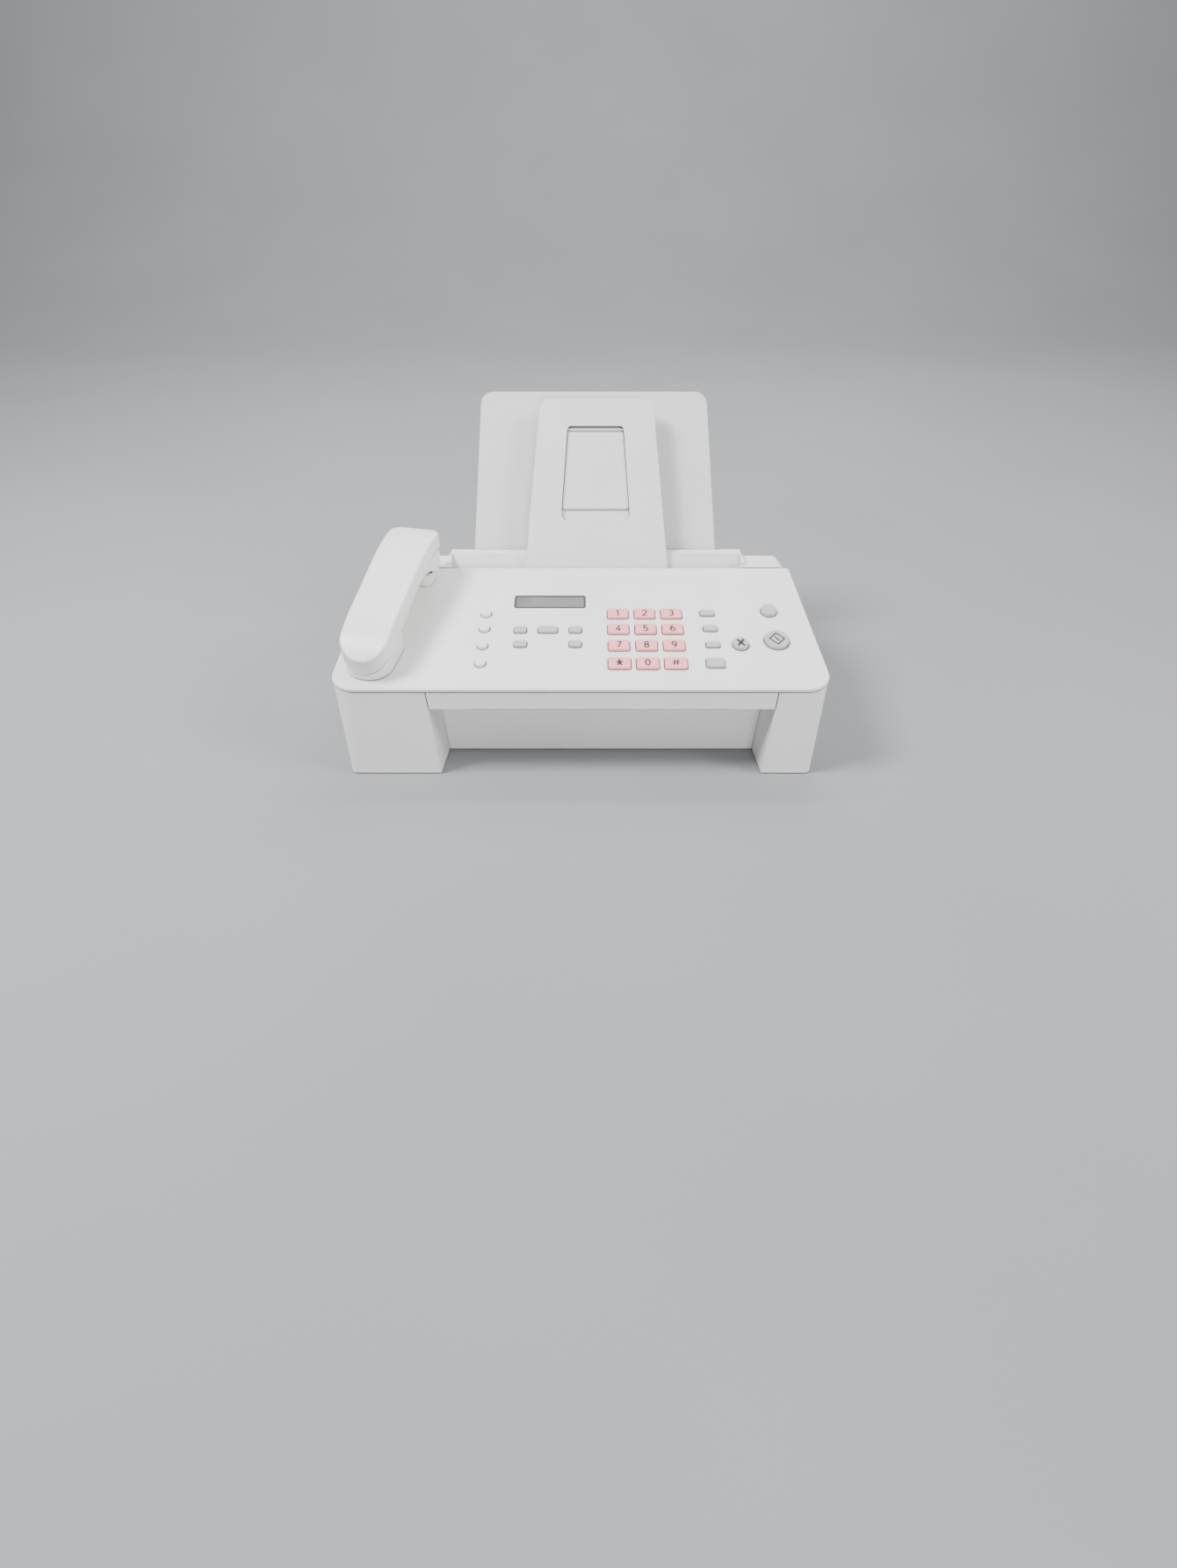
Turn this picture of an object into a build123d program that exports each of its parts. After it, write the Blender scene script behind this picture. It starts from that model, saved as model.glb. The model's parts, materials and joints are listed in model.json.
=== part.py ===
"""Desktop fax machine with a corded-type handset, inkjet printing and two paper supports.

Frame: millimetres, +X to the user's right, +Y to the back, +Z up. The origin is on the table, under the centre
of the machine's bounding box. Depths below are measured backwards from the front edge of the control panel.
"""

from build123d import *
from math import cos, radians, sin, tan
import os

os.makedirs("parts", exist_ok=True)

# ------------------------------------------------------------------ driving dimensions
front_half_width = 201.5        # half width of the case at the front, before the corners are rounded
plan_taper = 0.0764             # narrowing of each side per millimetre of depth
lower_inset = 8.5               # how far each side leans in between the panel's front edge and the table
case_depth = 236.0
wall = 2.5
upper_corner, lower_corner, rear_corner = 19.0, 5.0, 11.4   # plan radii of the case's corners
front_height = 80.0             # top of the control panel's front edge
panel_slope = 13.0
panel_length = 168.2            # measured up the slope
panel_thickness = 3.0
body_gap = 0.3                  # air between pieces that move apart
seam_gap = 0.8                  # open seams that can be seen between the large mouldings
foot_height = 1.0

notch_centre = 17.0             # the paper exit notch sits right of the middle
notch_half_front = 133.8
notch_half_back = 131.5
notch_draft = 7.3               # extra half width at the panel's front edge
notch_depth = 39.0
bridge_bottom = 61.8

paper_centre = 12.5             # middle of the paper path
slot_half_width = 116.5
support_lean = 30.0             # both supports lean back from the vertical
document_y, document_z = 174.0, 117.7   # a point on the document support's front face
document_thickness = 5.5
tray_y, tray_z = 201.9, 122.7   # a point on the recording-paper support's front face
tray_thickness = 3.0
tray_length = 143.9             # from that point to its top edge
stack_gap = 9.2                 # level gap for the paper stack in front of the tray

shoulder_height = 118.0
hump_height = 124.2
hump_centre = 13.3
hump_half_top = 133.1
hump_step = 6.6                 # width of the curved step down to the shoulders
slope_start = 194.6             # the rear cover falls away behind this depth
rear_slope = 22.0
rear_split = 100.0              # side covers end and the rear cover begins

hinge_depth, hinge_height = 160.0, 108.0
trunnion_radius = 2.5
bearing_play = 0.05

lean = radians(support_lean)
slope = radians(panel_slope)
tray_top_y = tray_y + tray_length * sin(lean)
overall_depth = tray_top_y + tray_thickness * cos(lean)
front_y = -overall_depth / 2

# ------------------------------------------------------------------ planes
panel = Plane(origin=(0, front_y, front_height), x_dir=(1, 0, 0), z_dir=(0, -sin(slope), cos(slope)))
panel_normal = Axis(panel.origin, panel.z_dir)


def level(height):
    """Horizontal plane. Its own axes are x and depth."""
    return Plane(origin=(0, front_y, height))


def side(x):
    """Upright plane facing +X. Its own axes are depth and height."""
    return Plane(origin=(x, front_y, 0), x_dir=(0, 1, 0), z_dir=(1, 0, 0))


def front(depth):
    """Upright plane facing the user. Its own axes are x and height."""
    return Plane(origin=(0, front_y + depth, 0), x_dir=(1, 0, 0), z_dir=(0, -1, 0))


def leaning(depth, height):
    """Front face of a support: own axes x and distance up the support, facing the user."""
    return Plane(origin=(0, front_y + depth, height), x_dir=(1, 0, 0), z_dir=(0, -cos(lean), sin(lean)))


# ------------------------------------------------------------------ building helpers
def prism(plane, points, amount, mode=Mode.ADD):
    """A polygon on a plane, extruded."""
    with BuildSketch(plane) as outline:
        Polygon(*points, align=None)
    extrude(outline.sketch, amount=amount, mode=mode)


def block(plane, low, high, amount, radius=0, mode=Mode.ADD):
    """A rectangle between two corners on a plane, extruded, with optional round corners."""
    with BuildSketch(plane) as outline:
        with Locations(((low[0] + high[0]) / 2, (low[1] + high[1]) / 2)):
            if radius:
                RectangleRounded(high[0] - low[0], high[1] - low[1], radius)
            else:
                Rectangle(high[0] - low[0], high[1] - low[1])
    extrude(outline.sketch, amount=amount, mode=mode)


def rods(plane, centres, radius, amount, mode=Mode.ADD):
    """Round bars or holes, all of one radius."""
    with BuildSketch(plane) as outline:
        with Locations(*centres):
            Circle(radius)
    extrude(outline.sketch, amount=amount, mode=mode)


def half_width(depth):
    """Half width of the case above the panel's front edge, at a depth."""
    return front_half_width - plan_taper * depth


def under_panel(depth):
    """Height of the top of the walls that carry the panel plate, one seam below it."""
    return front_height + depth * tan(slope) - (panel_thickness + seam_gap) / cos(slope)


def document_face(height):
    """Depth of the document support's front face at a height."""
    return document_y + (height - document_z) * tan(lean)


def tray_face(height):
    """Depth of the recording-paper support's front face at a height."""
    return tray_y + (height - tray_z) * tan(lean)


def ridge_front(height):
    """Depth of the wall just behind the document support."""
    return document_face(height) + (document_thickness + body_gap) / cos(lean)


def ridge_back(height):
    """Depth of the wall in front of the paper stack."""
    return tray_face(height) - stack_gap


def tray_back(height):
    """Depth of the wall just behind the recording-paper support."""
    return tray_face(height) + (tray_thickness + body_gap) / cos(lean)


def along_x(points, x_low, x_high, mode=Mode.ADD):
    """A depth and height outline extruded from one x to another."""
    prism(side(x_low), points, x_high - x_low, mode)


def export(name, builder):
    """Label a finished piece and write its STEP file."""
    builder.part.label = name
    export_step(builder.part, f"parts/{name}.step")


# ------------------------------------------------------------------ construction shapes
def case_section(height, inset, side_inset, front_corner):
    """Plan outline of the case at a height."""
    with BuildSketch(level(height)) as outline:
        near, far = 0.8 + inset, case_depth - inset
        near_x = half_width(near) - 0.5 - inset - side_inset
        far_x = half_width(far) - 0.5 - inset - side_inset
        Polygon((-near_x, near), (near_x, near), (far_x, far), (-far_x, far), align=None)
        fillet(outline.vertices().group_by(Axis.Y)[0], front_corner - inset)
        fillet(outline.vertices().group_by(Axis.Y)[-1], rear_corner - inset)
    return outline.sketch


def case_form(inset):
    """The case as one solid: sides lean in below the panel's front edge and are upright above."""
    lowest, highest = foot_height - 40 * (inset > 0), 150
    lean_rate = lower_inset / (front_height - foot_height)
    lower = case_section(lowest, inset, lean_rate * (front_height - lowest), lower_corner)
    middle = case_section(front_height, inset, 0, upper_corner)
    upper = case_section(highest, inset, 0, upper_corner)
    loft([lower, middle], ruled=True)
    loft([middle, upper], ruled=True)


def notch_form(grow, top, back):
    """The exit notch as one solid, widened on both sides by grow."""
    sections = []
    for height in (-10, top):
        half_front = notch_half_front + notch_draft * height / front_height + grow
        half_back = half_front + (notch_half_back - notch_half_front) * back / notch_depth
        with BuildSketch(level(height)) as outline:
            Polygon(
                (notch_centre - half_front, 0),
                (notch_centre + half_front, 0),
                (notch_centre + half_back, back),
                (notch_centre - half_back, back),
                align=None,
            )
        sections.append(outline.sketch)
    loft(sections, ruled=True)


with BuildPart() as case_outer:
    case_form(0)

with BuildPart() as case_inner:
    case_form(wall)

with BuildPart() as notch:
    notch_form(0, 110, notch_depth + wall)

with BuildPart() as notch_walls:
    notch_form(wall, bridge_bottom + wall, notch_depth + wall)

with BuildPart() as bridge_space:
    notch_form(-seam_gap, 110, notch_depth + wall)

# Open space inside the case, with the walls beside the notch left standing.
with BuildPart() as case_hollow:
    add(case_inner.part)
    add(notch_walls.part, mode=Mode.SUBTRACT)

# ------------------------------------------------------------------ base pan, feet, side covers
pan_top = foot_height + wall
side_back = 224.0
handset_socket = ((60, 26), (73, 38))   # opposite corners: depth and height
screw_places = [(-176, 62), (-172, 186), (178, 62), (172, 186)]
screw_hole, screw_head, screw_shank = 1.8, 3.4, 1.5
rib_height = 5.0
board_height = 10.0
main_board_posts = [(x, depth) for x in (-104, 54) for depth in (66, 144)]
supply_posts = [(x, depth) for x in (-168, -134) for depth in (80, 128)]

with BuildPart() as base_pan:
    block(level(foot_height), (-220, 0), (220, case_depth), wall)
    add(case_hollow.part, mode=Mode.INTERSECT)
    for rib_depth in (52, 150, 212):
        block(level(pan_top), (-126, rib_depth), (164, rib_depth + 2), rib_height)
    for rib_x in (-126, 162):
        block(level(pan_top), (rib_x, 48), (rib_x + 2, 216), rib_height)
    rods(level(pan_top), main_board_posts + supply_posts, 3, board_height - pan_top)
    for row in range(-2, 3):
        block(level(0), (-162, 161 + row * 5), (-138, 163 + row * 5), 10, mode=Mode.SUBTRACT)
    rods(level(foot_height), screw_places, screw_hole, wall, Mode.SUBTRACT)
    rods(level(foot_height), screw_places, screw_head + 0.4, 1.2, Mode.SUBTRACT)
export("base_pan", base_pan)

foot_places = [(-152, 24), (172, 24), (-150, 206), (150, 206)]
with BuildPart() as rubber_feet:
    rods(level(0), foot_places, 9, foot_height)
    chamfer(rubber_feet.edges().group_by(Axis.Z)[0], 0.3)
export("rubber_feet", rubber_feet)

with BuildPart() as case_screws:
    rods(level(foot_height), screw_places, screw_head, 1.1)
    rods(level(foot_height), screw_places, screw_shank, 12)
export("case_screws", case_screws)

side_outline = [
    (0, foot_height),
    (side_back, foot_height),
    (side_back, rear_split - 0.2),
    (hinge_depth + 5.7, rear_split - 0.2),
    (hinge_depth + 5.7, hinge_height + 3.2),
    (hinge_depth + 2, hinge_height + 4.7),
    (hinge_depth - 1.4, under_panel(hinge_depth - 1.4)),
    (0, under_panel(0)),
]


def side_cover(sign, screws):
    """One leg with its side wall, screw posts and hinge ear. The left one is cut for the handset's socket."""
    x_low, x_high = sorted((sign * 220, sign * 100))
    with BuildPart() as cover:
        along_x(side_outline, x_low, x_high)
        add(case_hollow.part, mode=Mode.SUBTRACT)
        add(notch.part, mode=Mode.SUBTRACT)
        if sign > 0:
            block(level(0), (90, notch_depth + wall), (notch_centre + 128, 300), 200, mode=Mode.SUBTRACT)
        for x, depth in screws:
            outer_x = sign * 210
            low_x, high_x = sorted((x - sign * 5, outer_x))
            block(level(pan_top + 0.2), (low_x, depth - 5), (high_x, depth + 5), 26)
        ear_x, ear_end = sorted((sign * 175, sign * 200))
        rods(side(ear_x), [(hinge_depth, hinge_height)], 5, ear_end - ear_x)
        add(case_outer.part, mode=Mode.INTERSECT)
        rods(level(0), screws, screw_shank + bearing_play, 24, Mode.SUBTRACT)
        bore_x = sorted((sign * 170, sign * 183))[0]
        rods(side(bore_x), [(hinge_depth, hinge_height)], trunnion_radius + bearing_play, 13, Mode.SUBTRACT)
        if sign < 0:
            block(side(-220), *handset_socket, 80, mode=Mode.SUBTRACT)
    return cover


left_side_cover = side_cover(-1, screw_places[:2])
export("left_side_cover", left_side_cover)
right_side_cover = side_cover(1, screw_places[2:])
export("right_side_cover", right_side_cover)

# ------------------------------------------------------------------ front bridge and exit wall
with BuildPart() as front_fascia:
    fascia_outline = [
        (0.8, bridge_bottom),
        (notch_depth, bridge_bottom),
        (notch_depth, bridge_bottom + wall),
        (0.8 + wall, bridge_bottom + wall),
        (0.8 + wall, under_panel(0.8 + wall)),
        (0.8, under_panel(0.8)),
    ]
    along_x(fascia_outline, -200, 200)
    add(bridge_space.part, mode=Mode.INTERSECT)
export("front_fascia", front_fascia)

exit_half_width = 113.0
print_exit = (40.0, 50.0)       # lowest and highest edge of the print slot
document_exit = (53.5, 59.0)
with BuildPart() as exit_wall:
    block(front(notch_depth), (-200, foot_height), (200, bridge_bottom + wall), -wall)
    add(notch.part, mode=Mode.INTERSECT)
    for low, high in (print_exit, document_exit):
        corner_low = (paper_centre + 2 - exit_half_width, low)
        corner_high = (paper_centre + 2 + exit_half_width, high)
        block(front(notch_depth), corner_low, corner_high, -wall, radius=1.5, mode=Mode.SUBTRACT)
export("exit_wall", exit_wall)

# ------------------------------------------------------------------ rear cover
cover_front = hinge_depth + 6.2
fall = tan(radians(rear_slope))


def falling(height, depth):
    """Height of a surface that starts to fall at slope_start."""
    return height - max(0, depth - slope_start) * fall


def hump_outline(narrower, lower):
    """Cross-section of the raised middle: flat top, curved steps down at both ends."""
    top = hump_height - lower
    foot = shoulder_height - lower
    half_top = hump_half_top - narrower
    half_foot = half_top + hump_step
    with BuildSketch(front(slope_start)) as outline:
        with BuildLine():
            Spline(
                (hump_centre - half_foot, foot),
                (hump_centre - half_top, top),
                tangents=[(1, 0), (1, 0)],
            )
            Line((hump_centre - half_top, top), (hump_centre + half_top, top))
            Spline(
                (hump_centre + half_top, top),
                (hump_centre + half_foot, foot),
                tangents=[(1, 0), (1, 0)],
            )
            Polyline(
                (hump_centre + half_foot, foot),
                (hump_centre + half_foot, foot - 4),
                (hump_centre - half_foot, foot - 4),
                (hump_centre - half_foot, foot),
            )
        make_face()
    return outline.sketch


def rear_form(inset):
    """The rear cover's outer or inner form, before the case outline trims it."""
    top = shoulder_height - inset
    back = case_depth + 2
    start = cover_front + inset
    along_x(
        [
            (start, rear_split - 20 * (inset > 0)),
            (start, top),
            (slope_start, top),
            (back, falling(top, back)),
            (back, foot_height - 20 * (inset > 0)),
            (side_back - 10 * (inset > 0), foot_height - 20 * (inset > 0)),
            (side_back - 10 * (inset > 0), rear_split - 20 * (inset > 0)),
        ],
        -220,
        220,
    )
    raised = hump_outline(inset, inset)
    extrude(raised, amount=slope_start - start - 5)
    extrude(raised, amount=60, dir=(0, cos(radians(rear_slope)), -sin(radians(rear_slope))))


sockets_behind = {              # opposite corners: x and height
    "mains": ((-150, 20), (-126, 36)),
    "line": ((-96, 22), (-83, 34)),
    "extension": ((-76, 22), (-63, 34)),
}
sweep_clearance = 11.0          # radius swept by the panel's rear edge, with room to spare
beam_foot = 92.0
slot_low, slot_high = paper_centre - slot_half_width, paper_centre + slot_half_width
mouth_low, mouth_high = hump_centre - hump_half_top, hump_centre + hump_half_top
document_foot = -21.4           # lower end of the document support, measured up its face
tray_foot = -27.0


def lean_point(origin, up, behind):
    """Depth and height of a point on a support: distance up its face and distance behind it."""
    return (
        origin[0] + up * sin(lean) + behind * cos(lean),
        origin[1] + up * cos(lean) - behind * sin(lean),
    )


def cheek(front_face, back_face):
    """Cross-section of the wall that closes the end of a slot."""
    return [
        (front_face(beam_foot), beam_foot),
        (front_face(130), 130),
        (back_face(130), 130),
        (back_face(beam_foot), beam_foot),
    ]


def beam(origin, foot, thickness, back):
    """Cross-section of the beam behind a support, with the ledge that it stands on."""
    ledge = foot - body_gap
    toe = lean_point(origin, ledge, 0.4)
    return [
        (toe[0], beam_foot),
        toe,
        lean_point(origin, ledge, thickness + body_gap),
        lean_point(origin, 30, thickness + body_gap),
        (back(lean_point(origin, 30, 0)[1]), lean_point(origin, 30, 0)[1]),
        (back(beam_foot), beam_foot),
    ]


with BuildPart() as rear_hollow:
    rear_form(wall)
    add(case_inner.part, mode=Mode.INTERSECT)
    rods(side(-220), [(hinge_depth, hinge_height)], sweep_clearance + wall, 440, Mode.SUBTRACT)

with BuildPart() as rear_skin:
    rear_form(0)
    along_x([(cover_front, 118), (cover_front, 130), (cover_front + 22, 130)], -220, 220, Mode.SUBTRACT)
    add(case_outer.part, mode=Mode.INTERSECT)
    shoulder_edges = rear_skin.edges().filter_by(
        lambda edge: abs(edge.center().X) > 172 and edge.center().Z > 100.5 and edge.length > 20
    )
    fillet(shoulder_edges, 9)

# Where the beams may be: under the cover's skin, and below its front wall.
with BuildPart() as beam_room:
    add(rear_skin.part)
    block(level(beam_foot), (-150, hinge_depth + 3), (170, side_back), rear_split + 1 - beam_foot)

with BuildPart() as slot_frame:
    document_beam = beam((document_y, document_z), document_foot, document_thickness, ridge_back)
    tray_beam = beam((tray_y, tray_z), tray_foot, tray_thickness, lambda height: tray_back(height) + 4)
    along_x(document_beam, mouth_low - wall, mouth_high + wall)
    along_x(tray_beam, slot_low - wall, slot_high + wall)
    mouth_cheek = cheek(lambda height: cover_front, ridge_back)
    slot_cheek = cheek(ridge_back, lambda height: tray_back(height) + 4)
    for section, low, high in ((mouth_cheek, mouth_low, mouth_high), (slot_cheek, slot_low, slot_high)):
        along_x(section, low - wall, low)
        along_x(section, high, high + wall)
    add(beam_room.part, mode=Mode.INTERSECT)

with BuildPart() as rear_cover:
    add(rear_skin.part)
    add(rear_hollow.part, mode=Mode.SUBTRACT)
    along_x(cheek(lambda height: 150, ridge_front), mouth_low, mouth_high, Mode.SUBTRACT)
    along_x(cheek(ridge_back, tray_back), slot_low, slot_high, Mode.SUBTRACT)
    add(slot_frame.part)
    for low_x, high_x in ((-220, mouth_low), (mouth_high, 220)):
        with BuildSketch(side(low_x)) as scoop:
            with Locations((hinge_depth, hinge_height)):
                Circle(sweep_clearance)
            with Locations((hinge_depth, hinge_height + 2 - 20)):
                Rectangle(60, 40, mode=Mode.SUBTRACT)
        extrude(scoop.sketch, amount=high_x - low_x, mode=Mode.SUBTRACT)
    for corner_low, corner_high in sockets_behind.values():
        block(front(case_depth - 6), corner_low, corner_high, -12, mode=Mode.SUBTRACT)
export("rear_cover", rear_cover)

# ------------------------------------------------------------------ keys
digit_columns = (31.5, 54.5, 77.4)
digit_rows = (97.6, 76.3, 54.4, 31.3)
digit_names = ("1", "2", "3", "4", "5", "6", "7", "8", "9", "star", "0", "hash")
side_column, side_rows = -81.7, (98.1, 77.5, 54.6, 31.8)
function_keys = [               # x, distance up the panel, width, length
    (108.4, 98.7, 11.9, 7.6),
    (109.3, 77.4, 11.7, 7.4),
    (109.6, 55.5, 11.4, 7.2),
    (109.6, 31.6, 14.8, 11.4),
]
display_keys = {
    "menu": (-51.3, 75.5, 10.5, 8.2),
    "set": (-28.1, 75.5, 16.3, 8.2),
    "clear": (-4.8, 75.5, 10.3, 8.2),
    "left": (-50.3, 56.4, 10.4, 7.8),
    "right": (-4.6, 56.4, 10.1, 7.8),
}
round_keys = {"stop": (132.7, 55.7, 13), "start": (163.2, 60.9, 20.3), "copy": (161.8, 101.5, 13.4)}
oval = 1.14                     # round keys are a little longer up the slope than across

key_rise, round_key_rise = 2.0, 3.0
key_travel = 1.2
key_clearance = 0.6
flange_overhang, flange_thickness = 1.0, 1.2
board_lift = -8.5
stem_end = board_lift + key_travel + body_gap


class Key:
    """Place and outline of one key on the panel."""

    def __init__(self, x, up, width, length, is_round=False):
        self.place = (x, up)
        self.width, self.length, self.is_round = width, length, is_round
        self.rise = round_key_rise if is_round else key_rise

    def outline(self, lift, grow=0):
        """The key's outline on a plane above or below the panel's face."""
        with BuildSketch(panel.offset(lift)) as shape:
            with Locations(self.place):
                if self.is_round:
                    Ellipse(self.width / 2 + grow, self.length / 2 + grow)
                else:
                    RectangleRounded(self.width + 2 * grow, self.length + 2 * grow, 1.6 + grow)
        return shape.sketch


keys = {}
for index, name in enumerate(digit_names):
    bottom_row = index >= 9
    keys[name] = Key(
        digit_columns[index % 3],
        digit_rows[index // 3],
        18.3 if bottom_row else 17.6,
        14.2 if bottom_row else 13.2,
    )
for name, place in display_keys.items():
    keys[name] = Key(*place)
for index, up in enumerate(side_rows):
    keys[f"onetouch_{index + 1}"] = Key(side_column, up, 8.6, 8.6 * oval, is_round=True)
for index, place in enumerate(function_keys):
    keys[f"function_{index + 1}"] = Key(*place)
for name, (x, up, width) in round_keys.items():
    keys[name] = Key(x, up, width, width * oval, is_round=True)

for name, key in keys.items():
    with BuildPart() as key_cap:
        flange_top = -panel_thickness - body_gap
        extrude(key.outline(flange_top), amount=key.rise - flange_top)
        chamfer(key_cap.faces().sort_by(panel_normal)[-1].edges(), 0.5)
        extrude(key.outline(flange_top, flange_overhang), amount=-flange_thickness)
        rods(panel.offset(stem_end), [key.place], 2, flange_top - flange_thickness - stem_end)
    export(f"key_{name}", key_cap)

# ------------------------------------------------------------------ top cover
skirt_inset, skirt_depth, skirt_thickness = 5.5, 6.0, 2.0
window_place, window_size = (-27.3, 116.0), (61.9, 17.8)
window_thickness = 1.5
board_bosses = [(-66, 26), (-66, 128), (12, 26), (12, 90), (97, 26), (97, 126), (145, 26), (145, 126)]
handset_place, handset_turn = (-172.9, 10), 9.6
cradle_height = 9.6
plunger_place = (0, 147)        # across and along the handset


def panel_outline(inset, end, corner):
    """Outline of the panel, or of a rim inside it."""
    front_half = half_width(0) - inset
    back_half = half_width(end * cos(slope)) - inset
    with BuildSketch(panel) as outline:
        Polygon((-front_half, inset), (front_half, inset), (back_half, end), (-back_half, end), align=None)
        fillet(outline.vertices().group_by(Axis.Y)[0], corner)
        fillet(outline.vertices().group_by(Axis.Y)[-1], 3)
    return outline.sketch


handset_plane = Plane(panel.location * Location((*handset_place, 0), (0, 0, -handset_turn)))


def handset_side(across):
    """Upright plane along the handset. Its own axes are distance along the handset and height."""
    origin = handset_plane.from_local_coords((across, 0, 0))
    return Plane(origin=origin, x_dir=handset_plane.y_dir, z_dir=handset_plane.x_dir)


hinge_up = 162.2                # the hinge axis, measured up the panel
hinge_arm = ((168.0, 173.0), 8.7)

with BuildPart() as top_cover:
    extrude(panel_outline(0, panel_length, 20), amount=-panel_thickness)
    chamfer(top_cover.faces().sort_by(panel_normal)[-1].edges(), 0.8)
    rim = panel_outline(skirt_inset, 150, 15)
    extrude(rim, amount=-panel_thickness - skirt_depth)
    core = panel_outline(skirt_inset + skirt_thickness, 156, 13)
    extrude(core.moved(Location(panel.z_dir * -panel_thickness)), amount=-20, mode=Mode.SUBTRACT)
    for sign in (-1, 1):
        low, high = sorted((sign * hinge_arm[0][0], sign * hinge_arm[0][1]))
        along_x(
            [
                (hinge_depth - 5, hinge_height),
                (hinge_depth - 3, hinge_height - 4),
                (hinge_depth + 3, hinge_height - 4),
                (hinge_depth + 4, hinge_height + 8),
                (hinge_depth - 9, hinge_height + 6),
            ],
            low,
            high,
        )
        pin_low = sorted((sign * hinge_arm[0][1], sign * 180))[0]
        rods(side(pin_low), [(hinge_depth, hinge_height)], trunnion_radius, 180 - hinge_arm[0][1])
    rods(panel.offset(board_lift), board_bosses, 3, -board_lift - panel_thickness)
    block(handset_plane, (-17, 132), (17, 152.5), cradle_height, radius=6)
    for key in keys.values():
        extrude(key.outline(-20, key_clearance), amount=40, mode=Mode.SUBTRACT)
    half_x, half_v = window_size[0] / 2, window_size[1] / 2
    window_low = (window_place[0] - half_x, window_place[1] - half_v)
    window_high = (window_place[0] + half_x, window_place[1] + half_v)
    block(panel, window_low, window_high, -window_thickness, radius=2, mode=Mode.SUBTRACT)
    sight_low = (window_low[0] + 2.5, window_low[1] + 2.5)
    sight_high = (window_high[0] - 2.5, window_high[1] - 2.5)
    block(panel, sight_low, sight_high, -10, radius=1, mode=Mode.SUBTRACT)
    rods(handset_plane.offset(-10), [plunger_place], 4, 30, Mode.SUBTRACT)
export("top_cover", top_cover)

with BuildPart() as lcd_window:
    block(panel, window_low, window_high, -window_thickness, radius=2)
export("lcd_window", lcd_window)

with BuildPart() as keypad_board:
    block(panel.offset(board_lift), (-92, 22), (180, 132), -1.6)
    display_low, display_high = [(x + sign, up + sign) for (x, up), sign in ((sight_low, 1), (sight_high, -1))]
    block(panel.offset(board_lift), display_low, display_high, -board_lift - window_thickness - 0.7)
    block(panel.offset(board_lift - 1.6), (60, 60), (76, 76), -1.6)
    block(panel.offset(board_lift - 1.6), (20, 110), (40, 120), -3)
    rods(panel.offset(board_lift - 3), board_bosses, 1.2, 8, Mode.SUBTRACT)
export("keypad_board", keypad_board)

with BuildPart() as hook_switch:
    rods(handset_plane.offset(-8.5), [plunger_place], 3.6, 8.5 + cradle_height + 0.1)
    chamfer(hook_switch.faces().sort_by(panel_normal)[-1].edges(), 0.8)
    rods(handset_plane.offset(-8.5), [plunger_place], 5.5, 1.2)
export("hook_switch", hook_switch)

# ------------------------------------------------------------------ handset
handset_half_front, handset_half_back = 20.0, 22.1
handset_length = 165.0
handset_reach = 30.0            # further to each side than any part of the handset
shell_band = 13.0               # depth of the upper shell's side wall
handset_back = [(0, 20), (10, 27), (60, 38), (110, 43), (150, 42), (handset_length, 38)]
shell_wall = 2.2
cup_wall = 2.5
cup_lift = 0.4
ear_cup_lift = cradle_height + 0.4
cup_inset = 1.2


def lowered(points, drop):
    """The same profile, lower."""
    return [(along, height - drop) for along, height in points]


def handset_outline(inset):
    """Plan of the handset: nearly round at the mouthpiece, square with round corners at the earpiece."""
    near_half, far_half = handset_half_front - inset, handset_half_back - inset
    near, far = inset, handset_length - inset
    with BuildSketch(handset_plane) as outline:
        Polygon((-near_half, near), (near_half, near), (far_half, far), (-far_half, far), align=None)
        fillet(outline.vertices().group_by(Axis.Y)[0], near_half - 1)
        fillet(outline.vertices().group_by(Axis.Y)[-1], 11 - inset)
    return outline.sketch


def shell_band_form(inset, top_drop, bottom_drop):
    """The band between two profiles, cut to the handset's plan."""
    with BuildPart() as band:
        with BuildSketch(handset_side(-handset_reach)) as profile:
            with BuildLine():
                upper = Spline(*lowered(handset_back, top_drop))
                lower = Spline(*lowered(handset_back, bottom_drop))
                Line(upper @ 0, lower @ 0)
                Line(upper @ 1, lower @ 1)
            make_face()
        extrude(profile.sketch, amount=2 * handset_reach)
        extrude(handset_outline(inset), amount=80, mode=Mode.INTERSECT)
    return band


shell_outside = shell_band_form(0, 0, shell_band)
shell_inside = shell_band_form(shell_wall, shell_wall, shell_band + 4)

with BuildPart() as handset_top_shell:
    add(shell_outside.part)
    crown = handset_top_shell.faces().sort_by(panel_normal)[-1]
    fillet(crown.edges(), 2)
    add(shell_inside.part, mode=Mode.SUBTRACT)
export("handset_top_shell", handset_top_shell)

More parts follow.
